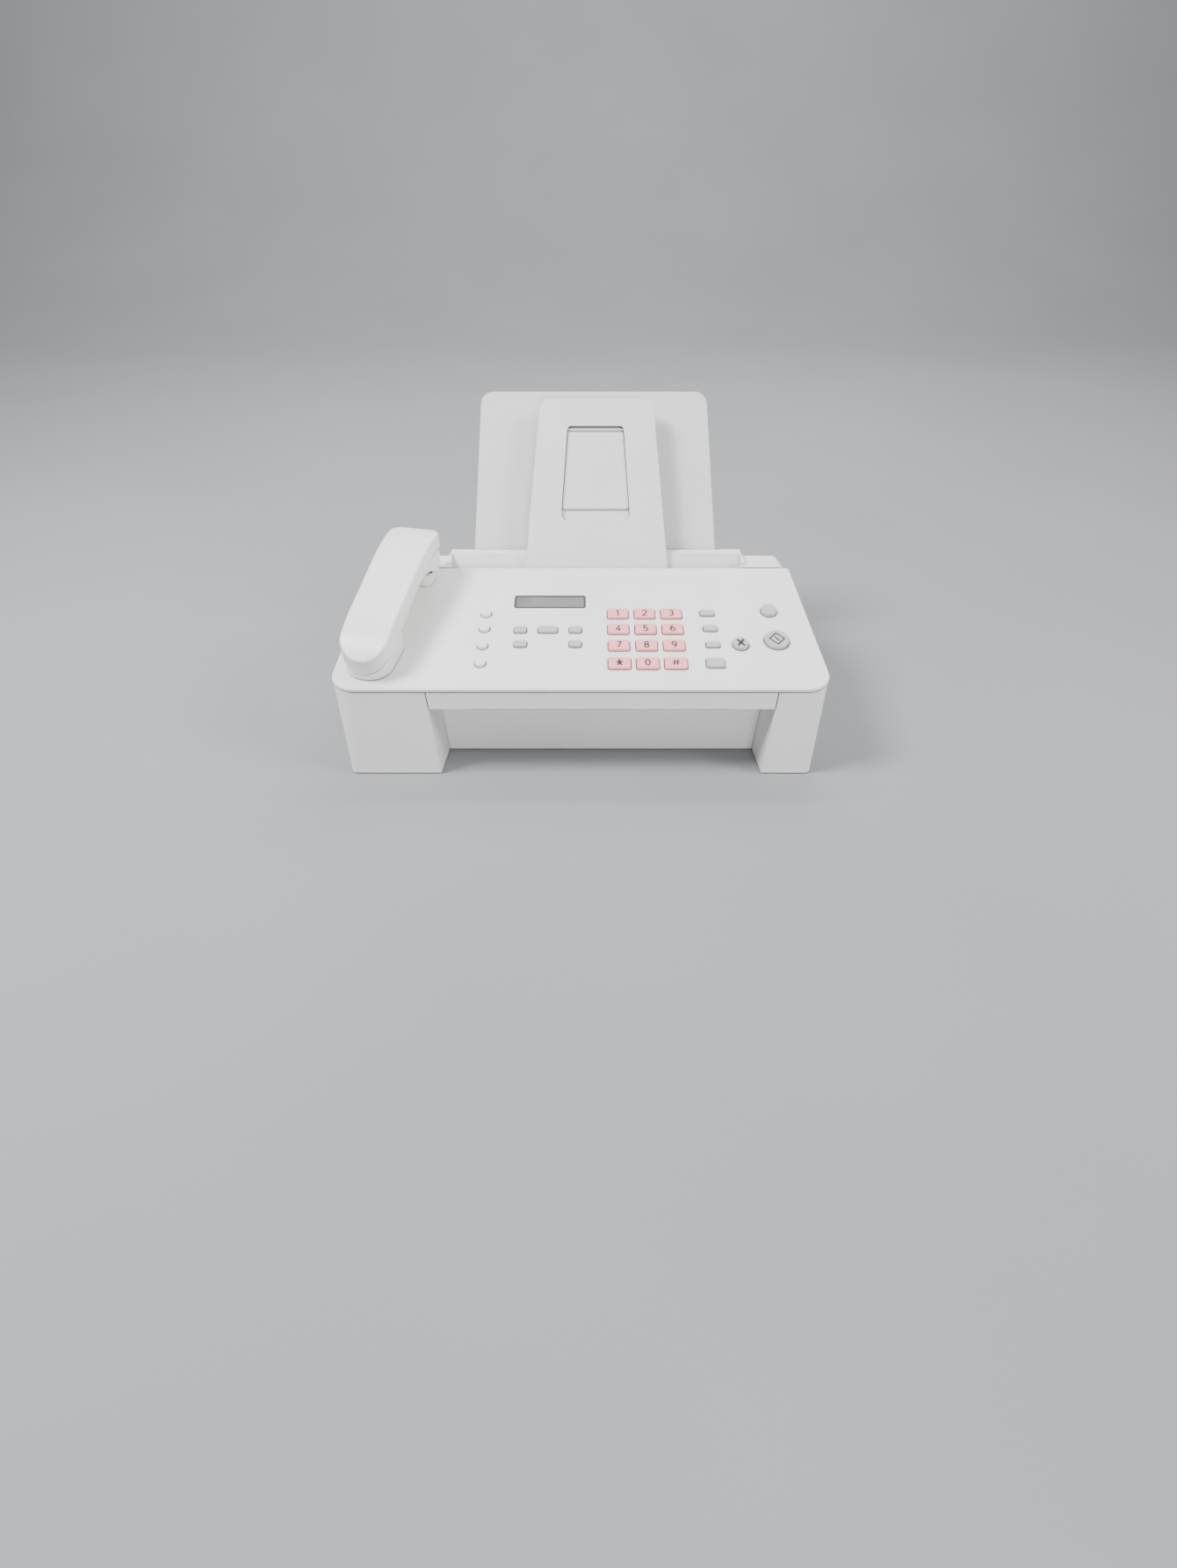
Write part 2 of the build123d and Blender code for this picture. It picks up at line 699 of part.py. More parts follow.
with BuildPart() as handset_bottom_shell:
    with BuildSketch(handset_side(-handset_reach)) as cup_profile:
        with BuildLine():
            seam = Spline(*lowered(handset_back, shell_band + seam_gap))
            start, finish = seam @ 0, seam @ 1
            Line((0, start.Y), (0, cup_lift))
            Line((0, cup_lift), (46, cup_lift))
            Line((46, cup_lift), (46, 18))
            grip = Spline((46, 18), (80, 23.5), (112, 25.5), (130, 19), (142, ear_cup_lift))
            Line(grip @ 1, (handset_length, ear_cup_lift))
            Line((handset_length, ear_cup_lift), (handset_length, finish.Y))
        make_face()
    extrude(cup_profile.sketch, amount=2 * handset_reach)
    extrude(handset_outline(cup_inset), amount=80, mode=Mode.INTERSECT)
    cup_floor = handset_plane.offset(cup_lift + cup_wall)
    ear_cup_floor = handset_plane.offset(ear_cup_lift + cup_wall)
    block(cup_floor, (-15, 9), (15, 42), 40, radius=9, mode=Mode.SUBTRACT)
    block(ear_cup_floor, (-16, 141.5), (16, 161.5), 40, radius=5, mode=Mode.SUBTRACT)
    for centre in (24, 151.5):
        with BuildSketch(handset_plane) as holes:
            with Locations((0, centre)):
                Circle(1.1)
                with PolarLocations(5, 6):
                    Circle(1.1)
        extrude(holes.sketch, amount=ear_cup_lift + cup_wall + 1, mode=Mode.SUBTRACT)
    jack_low, jack_high = (14, 3.4), (24, 10.4)
    block(handset_side(-handset_reach), jack_low, jack_high, handset_reach - 14, mode=Mode.SUBTRACT)
export("handset_bottom_shell", handset_bottom_shell)

with BuildPart() as handset_capsules:
    rods(cup_floor, [(0, 24)], 7, 5)
    rods(ear_cup_floor, [(0, 151.5)], 9, 6)
export("handset_capsules", handset_capsules)

# ------------------------------------------------------------------ supports
document_top = 148.0
pocket = {"low": (39.2, 32.0), "high": (124.6, 25.6), "depth": 4.1}
flap_hinge = (121.3, -0.9)      # distance up the support, and distance out of its face
flap_foot = 50.4
document_plane = leaning(document_y, document_z)
tray_plane = leaning(tray_y, tray_z)


def taper_sketch(plane, low, high, centre_low, centre_high, corner_low, corner_high):
    """A plate outline that narrows upwards. Low and high are (distance up, half width)."""
    with BuildSketch(plane) as outline:
        Polygon(
            (centre_low - low[1], low[0]),
            (centre_low + low[1], low[0]),
            (centre_high + high[1], high[0]),
            (centre_high - high[1], high[0]),
            align=None,
        )
        if corner_low:
            fillet(outline.vertices().group_by(Axis.Y)[0], corner_low)
        fillet(outline.vertices().group_by(Axis.Y)[-1], corner_high)
    return outline.sketch


def pocket_half(up):
    """Half width of the pocket at a distance up the document support."""
    (low, half_low), (high, half_high) = pocket["low"], pocket["high"]
    return half_low + (half_high - half_low) * (up - low) / (high - low)


pocket_centre = 12.7
hinge_half = pocket_half(flap_hinge[0]) + 2

with BuildPart() as document_support:
    plate = taper_sketch(document_plane, (document_foot, 67.2), (document_top, 51.3), 13.7, 13.7, 3, 8)
    extrude(plate, amount=-document_thickness)
    well = taper_sketch(document_plane, pocket["low"], pocket["high"], pocket_centre, pocket_centre, 6.5, 4)
    extrude(well, amount=-pocket["depth"], mode=Mode.SUBTRACT)
    flap_axis = document_plane.from_local_coords((0, *flap_hinge))
    axis_spot = (flap_axis.Y - front_y, flap_axis.Z)
    rods(side(pocket_centre - hinge_half - 0.3), [axis_spot], 0.65, 2 * hinge_half + 0.6, Mode.SUBTRACT)
export("document_support", document_support)

with BuildPart() as extension_flap:
    flap_high = flap_hinge[0] + 0.9
    low = (flap_foot, pocket_half(flap_foot) - 0.5)
    high = (flap_high, pocket_half(flap_high) - 0.7)
    leaf = taper_sketch(document_plane.offset(-2.1), low, high, pocket_centre, pocket_centre, 2, 2)
    extrude(leaf, amount=-1.5)
    knuckle_half = high[1] - 2.5
    knuckle_low = (pocket_centre - knuckle_half, flap_hinge[0] - 0.9)
    knuckle_high = (pocket_centre + knuckle_half, flap_high)
    block(document_plane.offset(-3.6), knuckle_low, knuckle_high, 3.6 + flap_hinge[1])
    rods(side(pocket_centre - knuckle_half), [axis_spot], 0.9, 2 * knuckle_half)
    rods(side(pocket_centre - hinge_half), [axis_spot], 0.6, 2 * hinge_half)
export("extension_flap", extension_flap)

with BuildPart() as paper_support:
    foot_half = 113.2 - tray_foot * 8.3 / tray_length
    tray = taper_sketch(tray_plane, (tray_foot, foot_half), (tray_length, 104.9), 12.5, 11.3, 3, 11.5)
    extrude(tray, amount=-tray_thickness)
    for rib_x in (-68, -14, 38, 92):
        block(tray_plane.offset(-tray_thickness), (rib_x - 1, 4), (rib_x + 1, 126), -3.5)
    block(tray_plane.offset(-tray_thickness), (-68, 124), (92, 126), -3.5)
export("paper_support", paper_support)

# ------------------------------------------------------------------ printing mechanism
chassis_left, chassis_right, chassis_wall = -120.0, 156.5, 1.5
chassis_bottom = pan_top + rib_height
guide_axis = (112, 66)
feed_axis, exit_axis, document_axis = (104, 38), (56, 40), (141, 96.5)
feed_radius, exit_radius, document_radius, shaft_radius = 8.0, 6.0, 6.0, 3.0
guide_radius = 4.0
roller_low, roller_high = slot_low + 3, slot_high - 3
roller_end = chassis_right + chassis_wall + 4
roller_start = chassis_left - 4
belt_height, belt_front, belt_width = 70.0, 121.0, 6.0
idler_x, drive_x, pulley_radius = -104.0, 143.0, 6.0
belt_thickness = 1.2
carriage_home, carriage_width = 128.0, 44.0

with BuildPart() as print_chassis:
    cheek_outline = [
        (48, chassis_bottom),
        (48, 76),
        (129, 92),
        (134, 104),
        (150, 106),
        (158, 100),
        (158, chassis_bottom),
    ]
    for x in (chassis_left, chassis_right):
        along_x(cheek_outline, x, x + chassis_wall)
        rods(side(x), [guide_axis], guide_radius, chassis_wall, Mode.SUBTRACT)
        for axis in (feed_axis, exit_axis, document_axis):
            rods(side(x), [axis], shaft_radius + bearing_play, chassis_wall, Mode.SUBTRACT)
    inner_left = chassis_left + chassis_wall
    block(level(44), (inner_left, 63), (chassis_right, 92), 1.5)
    block(level(chassis_bottom), (inner_left, 156), (chassis_right, 157.5), 45)
    block(front(128.4), (inner_left, belt_height - 12), (idler_x + 10, belt_height + 6), -1.5)
    block(front(128.4), (drive_x - 10, belt_height - 12), (chassis_right, belt_height + 6), -1.5)
    rods(front(128.4), [(idler_x, belt_height)], 5, 9)
    rods(front(128.4), [(drive_x, belt_height)], 2.5, -1.5, Mode.SUBTRACT)
    rods(side(chassis_right), [(94.1, 28.1)], 2.5, chassis_wall, Mode.SUBTRACT)
export("print_chassis", print_chassis)

with BuildPart() as guide_rod:
    rods(side(chassis_left), [guide_axis], guide_radius, chassis_right + chassis_wall - chassis_left)
export("guide_rod", guide_rod)


def roller(axis, radius, sleeves):
    """A steel shaft with rubber sleeves. Sleeves are (start, end) in x."""
    with BuildPart() as turned:
        rods(side(roller_start), [axis], shaft_radius, roller_end - roller_start)
        for start_x, end_x in sleeves:
            rods(side(start_x), [axis], radius, end_x - start_x)
    return turned


feed_roller = roller(feed_axis, feed_radius, [(-96, -56), (-8, 32), (80, 120)])
export("feed_roller", feed_roller)
exit_roller = roller(exit_axis, exit_radius, [(x - 9, x + 9) for x in (-80, -30, 20, 70, 120)])
export("exit_roller", exit_roller)
document_roller = roller(document_axis, document_radius, [(roller_low, roller_high)])
export("document_roller", document_roller)

with BuildPart() as scanner_bar:
    block(level(78), (roller_low, 132), (roller_high, 150), 12)
    block(level(82), (inner_left, 136), (chassis_right, 146), 5)
export("scanner_bar", scanner_bar)

with BuildPart() as carriage:
    low_x, high_x = carriage_home - carriage_width / 2, carriage_home + carriage_width / 2
    block(level(50), (low_x, 66), (high_x, 118.5), 28)
    block(level(52), (low_x + 2, 70), (high_x - 2, 106), 30, mode=Mode.SUBTRACT)
    block(level(40), (low_x + 6, 76), (high_x - 6, 98), 20, mode=Mode.SUBTRACT)
    rods(side(low_x), [guide_axis], guide_radius + bearing_play, carriage_width, Mode.SUBTRACT)
    block(level(56), (carriage_home - 6, 118.5), (carriage_home + 6, belt_front + belt_width), 6)
export("carriage", carriage)

with BuildPart() as ink_cartridge:
    for low_x in (carriage_home - 19.5, carriage_home + 0.5):
        high_x = low_x + 19
        block(level(52), (low_x, 71), (high_x, 105), 28)
        block(level(48.5), (low_x + 4, 78), (high_x - 4, 96), 3.5)
export("ink_cartridge", ink_cartridge)


def belt_loop(radius):
    """A loop round both belt pulleys, seen from the front."""
    with BuildSketch(front(belt_front)) as outline:
        with Locations(((idler_x + drive_x) / 2, belt_height)):
            SlotCenterToCenter(drive_x - idler_x, 2 * radius)
    return outline.sketch


with BuildPart() as carriage_belt:
    extrude(belt_loop(pulley_radius + body_gap + belt_thickness), amount=-belt_width)
    extrude(belt_loop(pulley_radius + body_gap), amount=-belt_width, mode=Mode.SUBTRACT)
export("carriage_belt", carriage_belt)

motor_shaft_radius = 1.5
with BuildPart() as belt_pulley:
    rods(front(belt_front - 0.5), [(drive_x, belt_height)], pulley_radius, -belt_width - 0.5)
    shaft_hole = motor_shaft_radius + bearing_play
    rods(front(belt_front - 0.5), [(drive_x, belt_height)], shaft_hole, -20, Mode.SUBTRACT)
export("belt_pulley", belt_pulley)

with BuildPart() as stepper_motors:
    rods(front(129.9), [(drive_x, belt_height)], 10, -17)
    rods(front(belt_front - 0.5), [(drive_x, belt_height)], motor_shaft_radius, -10)
    rods(side(chassis_right - 17), [(94.1, 28.1)], 10, 17)
    rods(side(chassis_right - 1), [(94.1, 28.1)], motor_shaft_radius, 8)
export("stepper_motors", stepper_motors)

# ------------------------------------------------------------------ electronics
with BuildPart() as circuit_boards:
    block(level(board_height), (-110, 60), (60, 150), 1.6)
    block(level(board_height), (-174, 74), (-128, 134), 1.6)
    block(level(board_height + 1.6), (-60, 90), (-36, 114), 2.4)
    block(level(board_height + 1.6), (-10, 96), (6, 112), 2)
    block(level(board_height + 1.6), (20, 120), (50, 140), 6)
    block(level(board_height + 1.6), (-168, 86), (-146, 108), 18)
    rods(level(board_height + 1.6), [(-137, 92), (-137, 108), (-90, 130)], 5, 14)
export("circuit_boards", circuit_boards)

with BuildPart() as monitor_speaker:
    rods(level(pan_top), [(-150, 166)], 18, 4)
    rods(level(pan_top + 4), [(-150, 166)], 9, 6)
export("monitor_speaker", monitor_speaker)

socket_play = 0.15
with BuildPart() as sockets:
    for name, (low, high) in sockets_behind.items():
        low = (low[0] + socket_play, low[1] + socket_play)
        high = (high[0] - socket_play, high[1] - socket_play)
        is_mains = name == "mains"
        rim = 1.8
        block(front(case_depth), low, high, 18 if is_mains else 14)
        inner_low, inner_high = (low[0] + rim, low[1] + rim), (high[0] - rim, high[1] - rim)
        block(front(case_depth + 1), inner_low, inner_high, 16 if is_mains else 12, mode=Mode.SUBTRACT)
        if is_mains:
            centre_height = (low[1] + high[1]) / 2
            middle = (low[0] + high[0]) / 2
            rods(front(case_depth - 4), [(middle - 4.3, centre_height), (middle + 4.3, centre_height)], 1.2, 12)
    (near, low_z), (far, high_z) = handset_socket
    near, low_z, far, high_z = near + socket_play, low_z + socket_play, far - socket_play, high_z - socket_play
    block(side(-200), (near, low_z), (far, high_z), 24)
    block(side(-205), (near + 1.8, low_z + 1.8), (far - 1.8, high_z - 1.8), 27, mode=Mode.SUBTRACT)
    add(case_outer.part, mode=Mode.INTERSECT)
export("sockets", sockets)
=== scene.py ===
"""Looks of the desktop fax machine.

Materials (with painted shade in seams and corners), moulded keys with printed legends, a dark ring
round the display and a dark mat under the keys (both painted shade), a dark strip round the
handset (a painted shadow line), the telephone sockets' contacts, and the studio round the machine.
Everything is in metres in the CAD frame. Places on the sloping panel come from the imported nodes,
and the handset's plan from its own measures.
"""

import json
import math

import bmesh
import bpy
from mathutils import Matrix, Vector


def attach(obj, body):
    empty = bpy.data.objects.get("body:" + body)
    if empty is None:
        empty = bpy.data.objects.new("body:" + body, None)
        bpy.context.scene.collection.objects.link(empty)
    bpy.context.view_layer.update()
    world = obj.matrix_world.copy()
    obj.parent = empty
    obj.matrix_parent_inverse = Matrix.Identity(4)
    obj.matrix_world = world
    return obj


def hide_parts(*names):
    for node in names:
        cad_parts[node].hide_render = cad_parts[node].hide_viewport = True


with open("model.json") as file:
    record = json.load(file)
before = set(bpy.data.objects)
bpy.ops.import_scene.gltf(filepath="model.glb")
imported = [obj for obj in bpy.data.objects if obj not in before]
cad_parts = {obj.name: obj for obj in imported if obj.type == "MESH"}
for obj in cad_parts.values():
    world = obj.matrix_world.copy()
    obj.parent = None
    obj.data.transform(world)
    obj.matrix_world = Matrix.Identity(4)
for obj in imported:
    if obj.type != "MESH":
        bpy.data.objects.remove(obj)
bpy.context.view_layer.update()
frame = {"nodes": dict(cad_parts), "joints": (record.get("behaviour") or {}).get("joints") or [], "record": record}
nodes = frame["nodes"]
joints = {joint["name"]: joint for joint in frame["joints"]}

MM = 0.001

# ------------------------------------------------------------------ directions on the panel
panel_normal = Vector(joints["handset_lift"]["axis"]).normalized()
panel_x = Vector((1, 0, 0))
panel_up = panel_normal.cross(panel_x).normalized()


def panel_extents(points):
    """Lowest and highest places of points, measured along the panel's own axes."""
    rows = [[p.dot(axis) for p in points] for axis in (panel_x, panel_up, panel_normal)]
    lows = [min(row) for row in rows]
    highs = [max(row) for row in rows]
    return lows, highs


def node_points(name):
    return [vertex.co.copy() for vertex in nodes[name].data.vertices]


def top_points(name, depth):
    """The vertices of a node within a depth of its highest point above the panel."""
    points = node_points(name)
    highest = max(point.dot(panel_normal) for point in points)
    return [point for point in points if point.dot(panel_normal) > highest - depth]


def panel_matrix(across, up, lift):
    """Placement whose own x, y and z run along the panel's axes."""
    origin = panel_x * across + panel_up * up + panel_normal * lift
    turn = Matrix((panel_x, panel_up, panel_normal)).transposed().to_4x4()
    return Matrix.Translation(origin) @ turn


# ------------------------------------------------------------------ materials
def new_material(name):
    material = bpy.data.materials.new(name)
    material.use_nodes = True
    tree = material.node_tree
    shader = tree.nodes["Principled BSDF"]
    return material, tree, shader


def object_coordinates(tree):
    return tree.nodes.new("ShaderNodeTexCoord").outputs["Object"]


def noise(tree, coordinates, scale, detail=2.0, roughness=0.5):
    texture = tree.nodes.new("ShaderNodeTexNoise")
    texture.inputs["Scale"].default_value = scale
    texture.inputs["Detail"].default_value = detail
    texture.inputs["Roughness"].default_value = roughness
    tree.links.new(coordinates, texture.inputs["Vector"])
    return texture.outputs["Fac"]


def ramp(tree, value, low, high, position_low=0.3, position_high=0.7):
    """Colour ramp between two colours, or two grey levels."""
    node = tree.nodes.new("ShaderNodeValToRGB")
    stops = ((low, position_low), (high, position_high))
    for element, (colour, position) in zip(node.color_ramp.elements, stops):
        element.position = position
        element.color = (*colour, 1) if isinstance(colour, tuple) else (colour, colour, colour, 1)
    tree.links.new(value, node.inputs["Fac"])
    return node.outputs["Color"]


def scaled(colour, factor):
    return tuple(min(1.0, channel * factor) for channel in colour)


def bump(tree, height, strength, distance, normal=None):
    node = tree.nodes.new("ShaderNodeBump")
    node.inputs["Strength"].default_value = strength
    node.inputs["Distance"].default_value = distance
    tree.links.new(height, node.inputs["Height"])
    if normal is not None:
        tree.links.new(normal, node.inputs["Normal"])
    return node.outputs["Normal"]


def rounded_edges(tree, radius):
    node = tree.nodes.new("ShaderNodeBevel")
    node.samples = 6
    node.inputs["Radius"].default_value = radius
    return node.outputs["Normal"]


def painted_seam_shade(tree, tone, reach, darkest):
    """Darkens a colour in narrow seams and inner corners by their ambient occlusion: painted shade."""
    shade = tree.nodes.new("ShaderNodeAmbientOcclusion")
    shade.samples = 8
    shade.inputs["Distance"].default_value = reach
    painted_shade_colour = ramp(tree, shade.outputs["AO"], darkest, 1.0, position_low=0.2, position_high=0.78)
    mix = tree.nodes.new("ShaderNodeMix")
    mix.data_type = "RGBA"
    mix.blend_type = "MULTIPLY"
    mix.inputs["Factor"].default_value = 1.0
    tree.links.new(tone, mix.inputs["A"])
    tree.links.new(painted_shade_colour, mix.inputs["B"])
    return mix.outputs["Result"]


def moulded_plastic(
    name, colour, roughness, grain, edge=0.35 * MM, variation=0.03, coat=0.0, seam_shade=0.0
):
    """Moulded plastic: spark-eroded grain, faint flow mottling, soft edges and painted shade in seams."""
    material, tree, shader = new_material(name)
    place = object_coordinates(tree)
    mottle = noise(tree, place, scale=14, detail=3)
    tone = ramp(tree, mottle, scaled(colour, 1 - variation), scaled(colour, 1 + variation / 2))
    # painted shade: the colour is darkened where ambient occlusion finds seams and inner corners
    if seam_shade:
        tone = painted_seam_shade(tree, tone, reach=seam_shade, darkest=0.1)
    tree.links.new(tone, shader.inputs["Base Color"])
    smudge = noise(tree, place, scale=45, detail=4, roughness=0.6)
    gloss = ramp(tree, smudge, roughness - 0.05, roughness + 0.06)
    tree.links.new(gloss, shader.inputs["Roughness"])
    fine = noise(tree, place, scale=2600, detail=1.5)
    normal = bump(tree, fine, grain, distance=0.06 * MM, normal=rounded_edges(tree, edge))
    tree.links.new(normal, shader.inputs["Normal"])
    shader.inputs["Specular IOR Level"].default_value = 0.45
    if coat:
        shader.inputs["Coat Weight"].default_value = coat
        shader.inputs["Coat Roughness"].default_value = 0.18
    return material


def brushed_metal(name, colour, roughness, along):
    """Drawn or rolled metal with fine streaks along one axis."""
    material, tree, shader = new_material(name)
    mapping = tree.nodes.new("ShaderNodeMapping")
    lengthways, crossways = 30, 1400
    scales = tuple(lengthways if axis == along else crossways for axis in "xyz")
    mapping.inputs["Scale"].default_value = scales
    tree.links.new(object_coordinates(tree), mapping.inputs["Vector"])
    streaks = noise(tree, mapping.outputs["Vector"], scale=1.0, detail=3)
    tree.links.new(ramp(tree, streaks, scaled(colour, 0.85), colour), shader.inputs["Base Color"])
    tree.links.new(ramp(tree, streaks, roughness, roughness + 0.15), shader.inputs["Roughness"])
    normal = bump(tree, streaks, strength=0.15, distance=0.03 * MM)
    tree.links.new(normal, shader.inputs["Normal"])
    shader.inputs["Metallic"].default_value = 1.0
    return material


def rubber(name, colour, roughness=0.75):
    material, tree, shader = new_material(name)
    place = object_coordinates(tree)
    dust = noise(tree, place, scale=160, detail=4)
    tree.links.new(ramp(tree, dust, colour, scaled(colour, 1.7)), shader.inputs["Base Color"])
    normal = bump(tree, noise(tree, place, scale=2200), strength=0.35, distance=0.08 * MM)
    tree.links.new(normal, shader.inputs["Normal"])
    shader.inputs["Roughness"].default_value = roughness
    return material


def printed_board(name):
    """Green solder mask over copper tracks."""
    material, tree, shader = new_material(name)
    bricks = tree.nodes.new("ShaderNodeTexBrick")
    bricks.inputs["Scale"].default_value = 90
    bricks.inputs["Mortar Size"].default_value = 0.035
    bricks.inputs["Color1"].default_value = (0.02, 0.16, 0.07, 1)
    bricks.inputs["Color2"].default_value = (0.015, 0.13, 0.06, 1)
    bricks.inputs["Mortar"].default_value = (0.06, 0.30, 0.13, 1)
    tree.links.new(object_coordinates(tree), bricks.inputs["Vector"])
    tree.links.new(bricks.outputs["Color"], shader.inputs["Base Color"])
    normal = bump(tree, bricks.outputs["Fac"], strength=0.4, distance=0.05 * MM)
    tree.links.new(normal, shader.inputs["Normal"])
    shader.inputs["Roughness"].default_value = 0.32
    return material


def display_glass(name):
    """Grey liquid-crystal display behind a clear window, with a faint grid of unlit cells."""
    material, tree, shader = new_material(name)
    place = object_coordinates(tree)
    cells = tree.nodes.new("ShaderNodeTexChecker")
    cells.inputs["Scale"].default_value = 700
    cells.inputs["Color1"].default_value = (0.060, 0.062, 0.060, 1)
    cells.inputs["Color2"].default_value = (0.070, 0.072, 0.070, 1)
    tree.links.new(place, cells.inputs["Vector"])
    tree.links.new(cells.outputs["Color"], shader.inputs["Base Color"])
    gloss = ramp(tree, noise(tree, place, scale=60, detail=3), 0.12, 0.2)
    tree.links.new(gloss, shader.inputs["Roughness"])
    shader.inputs["Coat Weight"].default_value = 0.25
    shader.inputs["Coat Roughness"].default_value = 0.06
    shader.inputs["Specular IOR Level"].default_value = 0.3
    return material


def ink(name, colour):
    """Pad-printed ink."""
    material, tree, shader = new_material(name)
    place = object_coordinates(tree)
    tone = ramp(tree, noise(tree, place, scale=900), colour, scaled(colour, 1.5))
    tree.links.new(tone, shader.inputs["Base Color"])
    shader.inputs["Roughness"].default_value = 0.55
    return material


def floor_material():
    material, tree, shader = new_material("floor_paper")
    place = object_coordinates(tree)
    wear = noise(tree, place, scale=3, detail=2)
    tone = ramp(tree, wear, (0.27, 0.275, 0.285), (0.285, 0.29, 0.30))
    tree.links.new(tone, shader.inputs["Base Color"])
    shader.inputs["Roughness"].default_value = 0.9
    return material


KEY_EDGE, KEY_SEAM_SHADE = 0.2 * MM, 1.6 * MM    # edge radius, and reach of the painted shade in the gaps round the keys

# Plastics give a name, colour, roughness and strength of grain. Metals give a name, colour,
# roughness and the direction of brushing.
# Where a reach for seams is given, the plastic gets painted shade in seams and inner corners.
SLOT_MATERIALS = {
    "case": moulded_plastic("case_plastic", (0.80, 0.80, 0.785), 0.48, 0.22, seam_shade=2.4 * MM),
    "support": moulded_plastic("support_plastic", (0.78, 0.78, 0.765), 0.40, 0.12, seam_shade=3.0 * MM),
    "handset": moulded_plastic(
        "handset_plastic", (0.81, 0.81, 0.795), 0.36, 0.10, edge=0.4 * MM, coat=0.1, seam_shade=3.0 * MM
    ),
    "digit_key": moulded_plastic(
        "digit_key_plastic", (0.95, 0.33, 0.375), 0.42, 0.08, edge=KEY_EDGE, seam_shade=KEY_SEAM_SHADE
    ),
    "grey_key": moulded_plastic(
        "grey_key_plastic", (0.42, 0.42, 0.43), 0.42, 0.08, edge=KEY_EDGE, seam_shade=KEY_SEAM_SHADE
    ),
    "white_key": moulded_plastic(
        "white_key_plastic", (0.82, 0.82, 0.805), 0.38, 0.06, edge=KEY_EDGE, seam_shade=2.0 * MM
    ),
    "display": display_glass("display_window"),
    "dark_plastic": moulded_plastic(
        "black_plastic", (0.025, 0.025, 0.028), 0.5, 0.25, variation=0.2
    ),
    "mechanism": moulded_plastic(
        "mechanism_plastic", (0.06, 0.06, 0.065), 0.45, 0.2, variation=0.15
    ),
    "cartridge": moulded_plastic("cartridge_plastic", (0.02, 0.02, 0.022), 0.2, 0.04, coat=0.4),
    "circuit_board": printed_board("circuit_board"),
    "steel": brushed_metal("bright_steel", (0.60, 0.60, 0.61), 0.25, "x"),
    "chassis_steel": brushed_metal("zinc_sheet", (0.50, 0.51, 0.53), 0.38, "y"),
    "rubber": rubber("foot_rubber", (0.02, 0.02, 0.02)),
    "roller_rubber": rubber("roller_rubber", (0.05, 0.05, 0.055), 0.65),
}
# The paper tray gets a darker copy of the support plastic: painted shade that sets it apart from the document
# support.
SHADED_TRAY = moulded_plastic("tray_plastic_shaded", (0.70, 0.70, 0.687), 0.42, 0.14, seam_shade=3.0 * MM)
INK = ink("legend_ink", (0.012, 0.010, 0.012))
# Dark plastic for the ring round the display: painted shadow of the window's recessed edge.
SHADOW_BEZEL = moulded_plastic("bezel_shadow_plastic", (0.035, 0.035, 0.038), 0.4, 0.1, variation=0.1)
CONTACT = brushed_metal("gold_contact", (0.85, 0.62, 0.25), 0.2, "y")

slot_of = {entry["node"]: entry["material_slot"] for entry in frame["record"]["subparts"]}
bodies = frame["record"]["behaviour"]["bodies"]
body_of = {node: body for body, members in bodies.items() for node in members}

for node_name, cad_object in nodes.items():
    cad_object.data.materials.clear()
    cad_object.data.materials.append(SLOT_MATERIALS[slot_of[node_name]])
# painted shade: the paper tray takes the darker copy of the support plastic
nodes["paper_support"].data.materials[0] = SHADED_TRAY


# ------------------------------------------------------------------ mesh helpers
def finished_piece(name, mesh_data, material, body, smooth_angle=30):
    """Turns bmesh data into an object with a material, smooth shading and a body to ride on."""
    bmesh.ops.recalc_face_normals(mesh_data, faces=mesh_data.faces)
    mesh = bpy.data.meshes.new(name)
    mesh_data.to_mesh(mesh)
    mesh_data.free()
    piece = bpy.data.objects.new(name, mesh)
    bpy.context.scene.collection.objects.link(piece)
    mesh.materials.append(material)
    mesh.shade_smooth()
    mesh.set_sharp_from_angle(angle=math.radians(smooth_angle))
    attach(piece, body)
    return piece


def join_loops(data, loops):
    """Faces from each closed loop of vertices to the next."""
    for near, far in zip(loops, loops[1:]):
        for index in range(len(near)):
            following = (index + 1) % len(near)
            data.faces.new((near[index], near[following], far[following], far[index]))


def rings_to_mesh(rings):
    """Closed solid through rings of equally many points, capped at both ends."""
    data = bmesh.new()
    loops = [[data.verts.new(point) for point in ring] for ring in rings]
    join_loops(data, loops)
    data.faces.new(list(reversed(loops[0])))
    data.faces.new(loops[-1])
    return data


# ------------------------------------------------------------------ keys
KEY_FILLET = 0.7 * MM
KEY_FOOT = 5.0 * MM             # how far each cap reaches below its top
KEY_DISH = 0.12 * MM
DISH_MARGIN, DISH_SHARE = 0.4 * MM, 0.92    # flat middle, and share of the rest that dishes
KEY_CORNER, LEAST_CORNER = 1.6 * MM, 0.25 * MM
TOP_DEPTH, SIDE_DEPTH = 0.3 * MM, 1.2 * MM    # vertices on a key's top, and on its top and sides
ROUND_STEPS, CORNER_STEPS, FILLET_STEPS, DISH_STEPS = 48, 6, 5, 4


def rounded_rectangle(half_x, half_y, corner):
    """Points round a rectangle with round corners."""
    points = []
    for quarter, (sign_x, sign_y) in enumerate(((1, 1), (-1, 1), (-1, -1), (1, -1))):
        centre_x = sign_x * (half_x - corner)
        centre_y = sign_y * (half_y - corner)
        for step in range(CORNER_STEPS + 1):
            angle = math.pi / 2 * (quarter + step / CORNER_STEPS)
            x, y = centre_x + corner * math.cos(angle), centre_y + corner * math.sin(angle)
            points.append((x, y))
    return points


